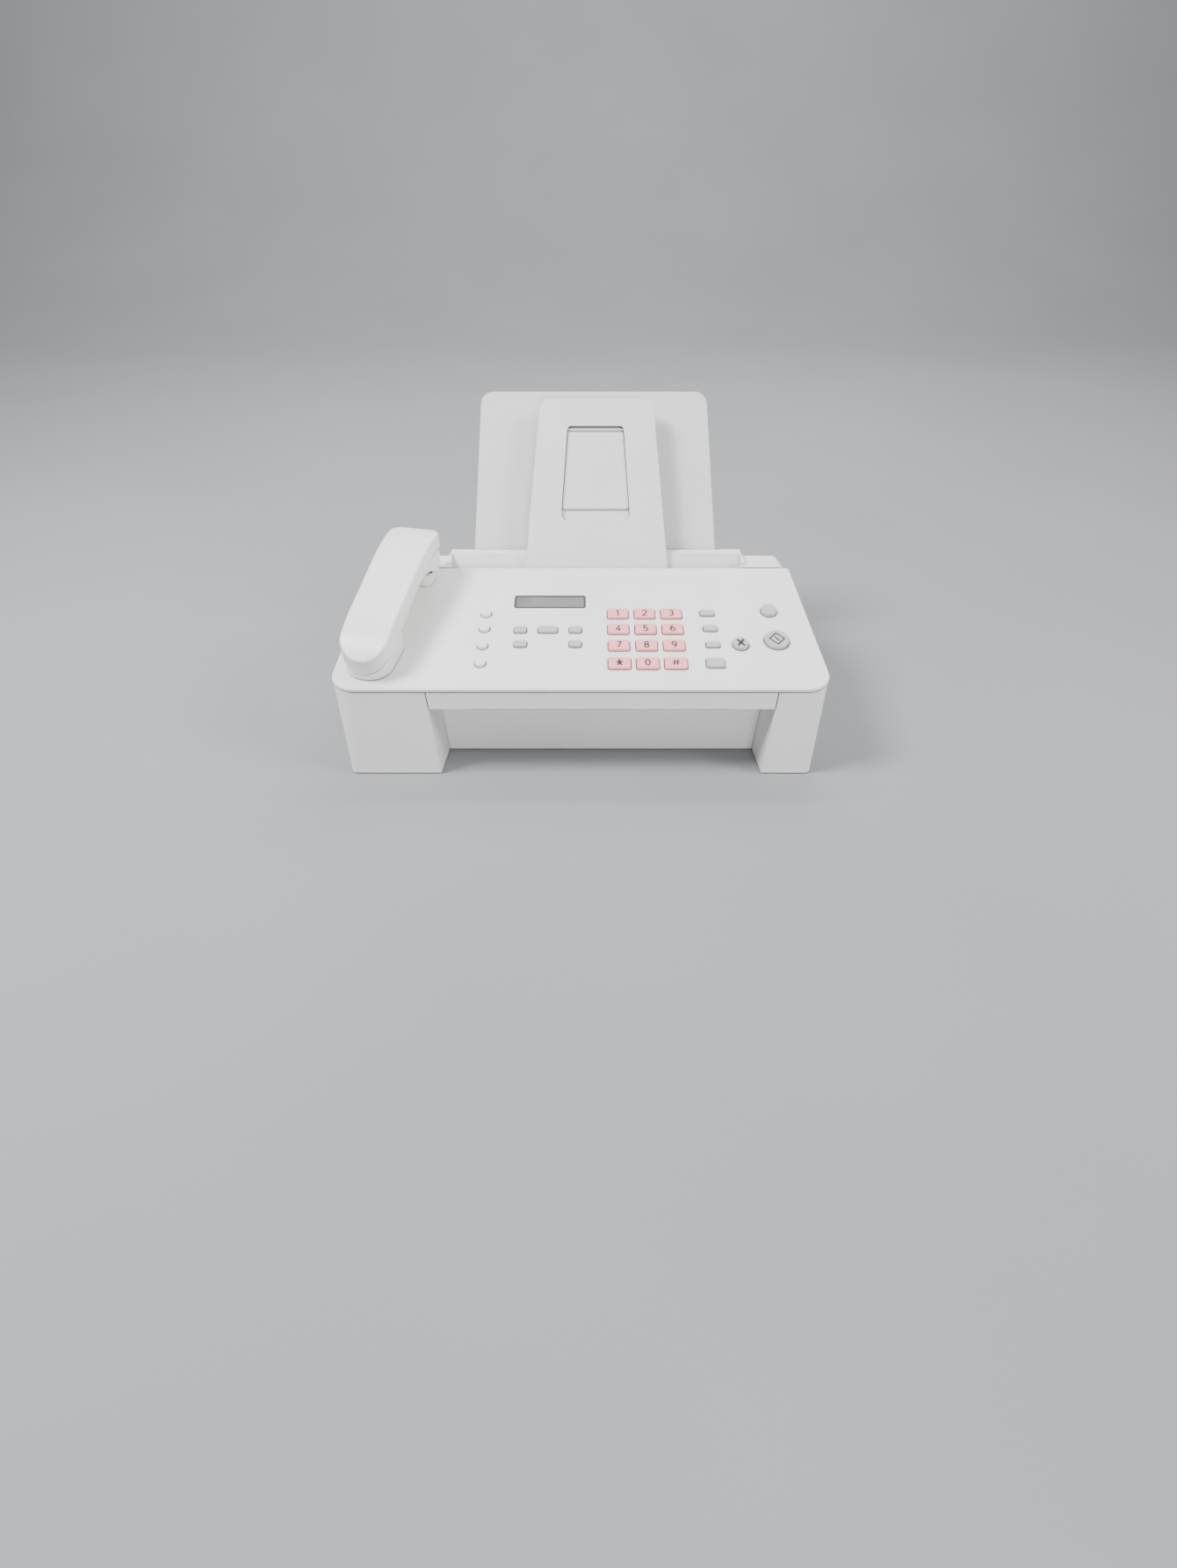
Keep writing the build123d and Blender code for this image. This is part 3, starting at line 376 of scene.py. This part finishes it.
def key_outline(half_x, half_y, is_round, inset):
    """Points round a key, either an ellipse or a rectangle with round corners."""
    if is_round:
        angles = [2 * math.pi * index / ROUND_STEPS for index in range(ROUND_STEPS)]
        return [((half_x - inset) * math.cos(a), (half_y - inset) * math.sin(a)) for a in angles]
    corner = max(KEY_CORNER - inset, LEAST_CORNER)
    return rounded_rectangle(half_x - inset, half_y - inset, corner)


def key_cap(name, is_round):
    """A key with a rounded rim and a slightly dished top, in place of the plain CAD key."""
    lows, highs = panel_extents(top_points(name, TOP_DEPTH))
    side_lows, side_highs = panel_extents(top_points(name, SIDE_DEPTH))
    half_x = (side_highs[0] - side_lows[0]) / 2
    half_y = (side_highs[1] - side_lows[1]) / 2
    place = panel_matrix((highs[0] + lows[0]) / 2, (highs[1] + lows[1]) / 2, highs[2])
    levels = [(-KEY_FOOT, 0), (-KEY_FILLET, 0)]     # height below the top, inset from the sides
    for step in range(1, FILLET_STEPS + 1):
        angle = math.pi / 2 * step / FILLET_STEPS
        height = -KEY_FILLET * (1 - math.sin(angle))
        levels.append((height, KEY_FILLET * (1 - math.cos(angle))))
    reach = min(half_x, half_y) - KEY_FILLET - DISH_MARGIN
    for step in range(1, DISH_STEPS + 1):
        share = step / DISH_STEPS
        height = -KEY_DISH * math.sin(math.pi / 2 * share) ** 2
        levels.append((height, KEY_FILLET + reach * share * DISH_SHARE))
    rings = [
        [place @ Vector((x, y, height)) for x, y in key_outline(half_x, half_y, is_round, inset)]
        for height, inset in levels
    ]
    data, slot = rings_to_mesh(rings), slot_of[name]
    material, body = SLOT_MATERIALS[slot], body_of[name]
    cap = finished_piece(f"{name}_cap", data, material, body, smooth_angle=50)
    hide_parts(name)
    return place


def is_round_key(name):
    return "onetouch" in name or name in ("key_stop", "key_start", "key_copy")


key_names = [name for name in nodes if name.startswith("key_")]
key_places = {name: key_cap(name, is_round_key(name)) for name in key_names}

# ------------------------------------------------------------------ legends on the keys
LEGEND_THICKNESS = 0.2 * MM
LEGEND_RISE = 0.04 * MM         # above the key's rim
MITRE_LIMIT = 2                 # most widening of a stroke at a sharp bend


def put_legend(key, data):
    """Sets a printed legend on top of a key."""
    lift = Matrix.Translation((0, 0, LEGEND_RISE - LEGEND_THICKNESS / 2))
    data.transform(key_places[key] @ lift)
    finished_piece(f"{key}_legend", data, INK, body_of[key])


def ribbon(data, points, width, closed=False):
    """A flat raised stroke of even width along a line of points, added to the mesh."""
    count = len(points)
    left, right = [], []
    for index, point in enumerate(points):
        before = points[index - 1] if closed or index else None
        after = points[(index + 1) % count] if closed or index < count - 1 else None
        directions = []
        if before:
            directions.append((Vector(point) - Vector(before)).normalized())
        if after:
            directions.append((Vector(after) - Vector(point)).normalized())
        middle = sum(directions, Vector((0, 0))).normalized()
        across = Vector((-middle.y, middle.x))
        stretch = 1 / max(1 / MITRE_LIMIT, middle.dot(directions[0]))
        offset = across * (width / 2) * stretch
        left.append(Vector(point) + offset)
        right.append(Vector(point) - offset)
    rows = []
    for side, height in ((left, -1), (left, 1), (right, 1), (right, -1)):
        z = height * LEGEND_THICKNESS / 2
        rows.append([data.verts.new((spot.x, spot.y, z)) for spot in side])
    last = count if closed else count - 1
    for row, next_row in zip(rows, rows[1:] + rows[:1]):
        for index in range(last):
            following = (index + 1) % count
            data.faces.new((row[index], row[following], next_row[following], next_row[index]))
    if not closed:
        data.faces.new([row[0] for row in rows])
        data.faces.new([row[-1] for row in reversed(rows)])


def arc(centre_x, centre_y, radius_x, radius_y, start, end, steps=14):
    """Points along part of an ellipse. Angles are in degrees."""
    angles = [math.radians(start + (end - start) * step / steps) for step in range(steps + 1)]
    return [(centre_x + radius_x * math.cos(a), centre_y + radius_y * math.sin(a)) for a in angles]


def loop(centre_x, centre_y, radius_x, radius_y):
    """Points all the way round an ellipse, 15 degrees apart."""
    return arc(centre_x, centre_y, radius_x, radius_y, 0, 345, 23)


STAR_ANGLES = [math.radians(90 + 72 * arm) for arm in range(5)]

# Strokes of each character, mostly in a box from -1 to 1: points, and whether the stroke is closed.
SIX = [(loop(0, -0.42, 1, 0.58), True), (arc(0.55, -0.42, 1.55, 1.42, 180, 98), False)]
STROKES = {
    "0": [(loop(0, 0, 1, 1), True)],
    "1": [([(-0.6, 0.55), (0.15, 1), (0.15, -1)], False)],
    "2": [(arc(0, 0.45, 0.95, 0.55, 165, -25) + [(-1, -1), (1, -1)], False)],
    "3": [
        (arc(-0.05, 0.5, 0.85, 0.5, 150, -80), False),
        (arc(-0.05, -0.47, 1.0, 0.53, 80, -150), False),
    ],
    "4": [([(0.45, -1), (0.45, 1), (-1, -0.4), (1, -0.4)], False)],
    "5": [
        ([(0.85, 1), (-0.7, 1), (-0.8, 0.1)] + arc(-0.05, -0.38, 1.0, 0.62, 125, -145), False),
    ],
    "6": SIX,
    "7": [([(-1, 1), (1, 1), (-0.3, -1)], False)],
    "8": [(loop(0, 0.52, 0.82, 0.48), True), (loop(0, -0.48, 1, 0.52), True)],
    "9": [([(-x, -y) for x, y in points], closed) for points, closed in SIX],
    "hash": [
        ([(-0.75, -1), (-0.3, 1)], False),
        ([(0.3, -1), (0.75, 1)], False),
        ([(-1.1, -0.35), (1.1, -0.35)], False),
        ([(-1.1, 0.35), (1.1, 0.35)], False),
    ],
    "star": [([(0, 0), (math.cos(angle), math.sin(angle))], False) for angle in STAR_ANGLES],
    "stop": [([(-1, -1), (1, 1)], False), ([(-1, 1), (1, -1)], False)],
    "start": [([(1, 0), (0, 1), (-1, 0), (0, -1)], True), ([(-0.27, 0.42), (0.27, -0.42)], False)],
}
# Half sizes and stroke widths in millimetres, for the digits and for each sign.
DIGIT_HALF_SIZE, DIGIT_STROKE = (1.75, 3.7), 1.15
HALF_SIZES = {"hash": (2.4, 3.4), "star": (2.9, 4.1), "stop": (2.9, 4.2), "start": (6.2, 7.4)}
STROKE_WIDTHS = {"hash": 0.9, "star": 1.6, "stop": 2.0, "start": 1.25}

for character, strokes in STROKES.items():
    half_x, half_y = HALF_SIZES.get(character, DIGIT_HALF_SIZE)
    stroke_width = STROKE_WIDTHS.get(character, DIGIT_STROKE) * MM
    legend = bmesh.new()
    for points, closed in strokes:
        placed = [(x * half_x * MM, y * half_y * MM) for x, y in points]
        ribbon(legend, placed, stroke_width, closed)
    put_legend(f"key_{character}", legend)

# ------------------------------------------------------------------ display ring, painted shadow
BEZEL_WIDTH, BEZEL_RISE, BEZEL_CORNER = 1.3 * MM, 0.35 * MM, 2.2 * MM
BEZEL_OVERHANG, BEZEL_FOOT = 0.3 * MM, -0.4 * MM    # beyond the window's edge, and below its top
BEZEL_SLANT, BEZEL_LIP = 0.2 * MM, 0.02 * MM    # of the inner edge, which ends just above the glass
window_low, window_high = panel_extents(node_points("lcd_window"))
window_x, window_y = ((low + high) / 2 for low, high in zip(window_low[:2], window_high[:2]))
window_half_x, window_half_y = (
    (high - low) / 2 for low, high in zip(window_low[:2], window_high[:2])
)
bezel_place = panel_matrix(window_x, window_y, window_high[2])
bezel_profile = [    # outward from the window's edge, height
    (BEZEL_OVERHANG, BEZEL_FOOT),
    (BEZEL_OVERHANG, BEZEL_RISE * 0.5),
    (0.0, BEZEL_RISE),
    (-BEZEL_WIDTH, BEZEL_RISE),
    (-BEZEL_WIDTH - BEZEL_SLANT, BEZEL_LIP),
    (-BEZEL_WIDTH - BEZEL_SLANT, BEZEL_FOOT),
]
# A dark ring round the display window: painted shadow of the window's recessed edge.
bezel = bmesh.new()
bezel_loops = []
for outward, height in bezel_profile:
    outline = rounded_rectangle(
        window_half_x + outward, window_half_y + outward, BEZEL_CORNER + outward
    )
    bezel_loops.append([bezel.verts.new(bezel_place @ Vector((x, y, height))) for x, y in outline])
join_loops(bezel, bezel_loops + bezel_loops[:1])
finished_piece("display_shadow_bezel", bezel, SHADOW_BEZEL, body_of["lcd_window"])


# ------------------------------------------------------------------ painted shade under the keys
BOX_FACES = ((3, 2, 1, 0), (4, 5, 6, 7), (0, 1, 5, 4), (1, 2, 6, 5), (2, 3, 7, 6), (3, 0, 4, 7))


def add_box(data, place, low, high):
    """A box between two corners, placed by a matrix."""
    corners = [
        data.verts.new(place @ Vector((x, y, z)))
        for z in (low[2], high[2])
        for x, y in ((low[0], low[1]), (high[0], low[1]), (high[0], high[1]), (low[0], high[1]))
    ]
    for face in BOX_FACES:
        data.faces.new([corners[index] for index in face])


MAT_DROP = 7.6 * MM             # the mat's underside below the digit keys' tops
MAT_THICKNESS = 0.8 * MM
MAT_MARGIN = 2.0 * MM
key_groups = [
    [name for name in key_places if name.startswith("key_onetouch")],
    ["key_menu", "key_set", "key_clear", "key_left", "key_right"],
    ["key_star", "key_hash"] + [f"key_{digit}" for digit in range(10)],
    [name for name in key_places if name.startswith("key_function")],
    ["key_stop", "key_start", "key_copy"],
]
digit_top = panel_extents(node_points("key_5"))[1][2]
# A dark rubber mat under the keys; its dark colour is painted shade in the gaps round the keys.
mat = bmesh.new()
for group in key_groups:
    lows, highs = panel_extents([point for name in group for point in top_points(name, SIDE_DEPTH)])
    low = (lows[0] - MAT_MARGIN, lows[1] - MAT_MARGIN, digit_top - MAT_DROP)
    high = (highs[0] + MAT_MARGIN, highs[1] + MAT_MARGIN, digit_top - MAT_DROP + MAT_THICKNESS)
    add_box(mat, panel_matrix(0, 0, 0), low, high)
finished_piece("key_shade_mat", mat, SLOT_MATERIALS["rubber"], body_of["top_cover"])

# ------------------------------------------------------------------ handset's painted shadow line
PANEL_ORIGIN = Vector((0, -138.22, 80.0)) * MM    # middle of the panel's front edge
HANDSET_PLACE, HANDSET_TURN = (-172.9 * MM, 10.0 * MM), math.radians(9.6)
HANDSET_HALVES, HANDSET_LENGTH = (20.0 * MM, 22.1 * MM), 165.0 * MM    # front and back half widths
FRONT_FLAT, BACK_CORNER = 1 * MM, 11 * MM    # flat half width of the front end, back corner radius
END_MARGIN = 0.05 * MM
HANDSET_CORNER_STEPS = 12
SHADOW_STRIP_INSET, SHADOW_STRIP_SPACING = 1.05 * MM, 3 * MM    # from the outline, and between its points
SHADOW_STRIP_TOP, SHADOW_STRIP_BOTTOM, SHADOW_STRIP_WIDTH = 0.2, 2.1, 0.7    # below the rim and inward, in mm
ALONG_WEIGHT = 0.25    # of the lengthways part in the inward direction
handset_origin = PANEL_ORIGIN + panel_x * HANDSET_PLACE[0] + panel_up * HANDSET_PLACE[1]
handset_along = panel_x * math.sin(HANDSET_TURN) + panel_up * math.cos(HANDSET_TURN)
handset_across = handset_along.cross(panel_normal)


def handset_half(along):
    """Half width of the handset at a distance along it."""
    share = along / HANDSET_LENGTH
    return HANDSET_HALVES[0] + (HANDSET_HALVES[1] - HANDSET_HALVES[0]) * share


def handset_profile(point):
    """Distance along the handset and height above the panel."""
    return (point - handset_origin).dot(handset_along), (point - handset_origin).dot(panel_normal)


shell_mesh = nodes["handset_top_shell"].data
shell_places = [handset_profile(vertex.co) for vertex in shell_mesh.vertices]
shell_edges = [
    sorted(shell_places[vertex] for vertex in edge.vertices) for edge in shell_mesh.edges
]


def rim_height(along):
    """Height of the upper shell's lower edge at a distance along the handset."""
    along = min(max(along, END_MARGIN), HANDSET_LENGTH - END_MARGIN)
    crossed = [(start, end) for start, end in shell_edges if start[0] <= along < end[0]]
    return min(
        start[1] + (end[1] - start[1]) * (along - start[0]) / (end[0] - start[0])
        for start, end in crossed
    )


def handset_ring(inset):
    """Places round the handset, set in from its outline: across, along."""
    points = []
    near_radius = HANDSET_HALVES[0] - FRONT_FLAT - inset
    far_radius = BACK_CORNER - inset
    for radius, middle, first in (
        (far_radius, HANDSET_LENGTH - inset - far_radius, 0),
        (near_radius, inset + near_radius, 2),
    ):
        for quarter in (first, first + 1):
            side = 1 if quarter in (0, 3) else -1
            centre = side * (handset_half(middle) - inset - radius)
            for step in range(HANDSET_CORNER_STEPS + 1):
                angle = math.pi / 2 * (quarter + step / HANDSET_CORNER_STEPS)
                across, along = centre + radius * math.cos(angle), middle + radius * math.sin(angle)
                points.append((across, along))
    return points


def filled_ring(points, spacing):
    """The same ring with extra points on its long sides."""
    filled = []
    for (x, y), (next_x, next_y) in zip(points, points[1:] + points[:1]):
        count = max(1, round(math.hypot(next_x - x, next_y - y) / spacing))
        for step in range(count):
            filled_x = x + (next_x - x) * step / count
            filled.append((filled_x, y + (next_y - y) * step / count))
    return filled


# A dark strip just below the upper shell's rim: a painted shadow line under the rim's overhang.
shadow_strip = bmesh.new()
shadow_strip_loops = []
outer_ring = filled_ring(handset_ring(SHADOW_STRIP_INSET), SHADOW_STRIP_SPACING)
rim_heights = [rim_height(along) for _, along in outer_ring]
centre_along = HANDSET_LENGTH / 2
for inward, drop in (
    (0.0, SHADOW_STRIP_TOP),
    (0.0, SHADOW_STRIP_BOTTOM),
    (SHADOW_STRIP_WIDTH, SHADOW_STRIP_BOTTOM),
    (SHADOW_STRIP_WIDTH, SHADOW_STRIP_TOP),
):
    shadow_strip_loop = []
    for (across, along), height in zip(outer_ring, rim_heights):
        outward = Vector((across, (along - centre_along) * ALONG_WEIGHT, 0)).normalized()
        step_in = outward * inward * MM
        point = handset_origin + handset_across * (across - step_in.x)
        point += handset_along * (along - step_in.y)
        shadow_strip_loop.append(shadow_strip.verts.new(point + panel_normal * (height - drop * MM)))
    shadow_strip_loops.append(shadow_strip_loop)
join_loops(shadow_strip, shadow_strip_loops + shadow_strip_loops[:1])
finished_piece(
    "handset_shadow_strip", shadow_strip, SLOT_MATERIALS["rubber"], body_of["handset_top_shell"]
)

# ------------------------------------------------------------------ contacts in the jacks
X, Y, Z = 0, 1, 2
WIRE_COUNT = 4
WIRE_FIRST, WIRE_PITCH = 0.26, 0.16         # shares of the socket's width
WIRE_HALF_WIDTH = 0.25 * MM
WIRE_UNDERSIDE, WIRE_TOP = 1.1 * MM, 0.5 * MM    # below the socket's roof
WIRE_NEAR, WIRE_FAR = 4.5, 11               # from the open side, in mm
openings = {
    opening["name"]: opening["box_m"] for opening in frame["record"]["physics"]["openings"]
}


def contacts(name, depth_axis, width_axis, entry):
    """Spring wires along the roof of a jack, which opens along depth_axis on the side entry."""
    low, high = openings[name]
    span = high[width_axis] - low[width_axis]
    open_side = high[depth_axis] if entry > 0 else low[depth_axis]
    depths = sorted((open_side - entry * WIRE_NEAR * MM, open_side - entry * WIRE_FAR * MM))
    wires = bmesh.new()
    for index in range(WIRE_COUNT):
        middle = low[width_axis] + span * (WIRE_FIRST + WIRE_PITCH * index)
        start, end = [0, 0, 0], [0, 0, 0]
        start[width_axis], end[width_axis] = middle - WIRE_HALF_WIDTH, middle + WIRE_HALF_WIDTH
        start[Z], end[Z] = high[Z] - WIRE_UNDERSIDE, high[Z] - WIRE_TOP
        start[depth_axis], end[depth_axis] = depths
        add_box(wires, Matrix.Identity(4), start, end)
    finished_piece(f"{name}_contacts", wires, CONTACT, body_of["sockets"])


contacts("line_jack", Y, X, 1)
contacts("extension_jack", Y, X, 1)
contacts("handset_jack", X, Y, -1)

# ------------------------------------------------------------------ floor, lights, camera
FLOOR_SIZE, COVE_RADIUS, BACK_WALL, WALL_HEIGHT, COVE_STEPS = 8.0, 1.5, 3.5, 5.0, 12
floor_edges = (-FLOOR_SIZE / 2, FLOOR_SIZE / 2)
floor_data = bmesh.new()
cove = [(-FLOOR_SIZE / 2, 0.0), (BACK_WALL - COVE_RADIUS, 0.0)]
for step in range(1, COVE_STEPS + 1):
    angle = math.pi / 2 * step / COVE_STEPS
    cove_y = BACK_WALL - COVE_RADIUS * (1 - math.sin(angle))
    cove.append((cove_y, COVE_RADIUS * (1 - math.cos(angle))))
cove.append((BACK_WALL, WALL_HEIGHT))
strips = [[floor_data.verts.new((x, y, z)) for x in floor_edges] for y, z in cove]
for near, far in zip(strips, strips[1:]):
    floor_data.faces.new((near[0], near[1], far[1], far[0]))
floor_mesh = bpy.data.meshes.new("floor")
floor_data.to_mesh(floor_mesh)
floor_data.free()
floor_mesh.shade_smooth()
floor = bpy.data.objects.new("floor", floor_mesh)
bpy.context.scene.collection.objects.link(floor)
floor_mesh.materials.append(floor_material())


def softbox(name, place, target, size, power):
    """A rectangular lamp facing a target, with its power in watts."""
    light = bpy.data.lights.new(name, "AREA")
    light.shape = "RECTANGLE"
    light.size, light.size_y = size
    light.energy = power
    lamp = bpy.data.objects.new(name, light)
    lamp.location = place
    lamp.rotation_euler = (Vector(target) - Vector(place)).to_track_quat("-Z", "Y").to_euler()
    bpy.context.scene.collection.objects.link(lamp)


PANEL_MIDDLE, CASE_MIDDLE, BACKDROP_MIDDLE = (0, 0, 0.08), (0, 0, 0.1), (0, 3.2, 0.6)
softbox("key_softbox", (-0.9, -0.35, 1.35), PANEL_MIDDLE, size=(0.5, 0.5), power=42)
softbox("fill_softbox", (1.2, -0.5, 1.1), PANEL_MIDDLE, size=(0.6, 0.6), power=20)
softbox("front_softbox", (0.3, -1.5, 0.32), CASE_MIDDLE, size=(0.4, 0.3), power=9)
softbox("back_softbox", (0.3, 1.3, 1.5), CASE_MIDDLE, size=(1.0, 0.6), power=14)
softbox("backdrop_softbox", (0, 1.2, 2.6), BACKDROP_MIDDLE, size=(3.0, 1.0), power=110)

world = bpy.data.worlds.new("studio")
world.use_nodes = True
background = world.node_tree.nodes["Background"]
background.inputs["Color"].default_value = (0.95, 0.97, 1.0, 1)
background.inputs["Strength"].default_value = 0.30
bpy.context.scene.world = world

VIEW_PITCH = 34                 # degrees below the horizon
camera_data = bpy.data.cameras.new("camera")
camera_data.sensor_fit = "VERTICAL"
camera_data.sensor_height = 36
camera_data.lens = 21.18
camera = bpy.data.objects.new("camera", camera_data)
camera.location = (0.0063, -0.7836, 0.4254)
camera.rotation_euler = (math.radians(90 - VIEW_PITCH), 0, 0)
bpy.context.scene.collection.objects.link(camera)
bpy.context.scene.camera = camera
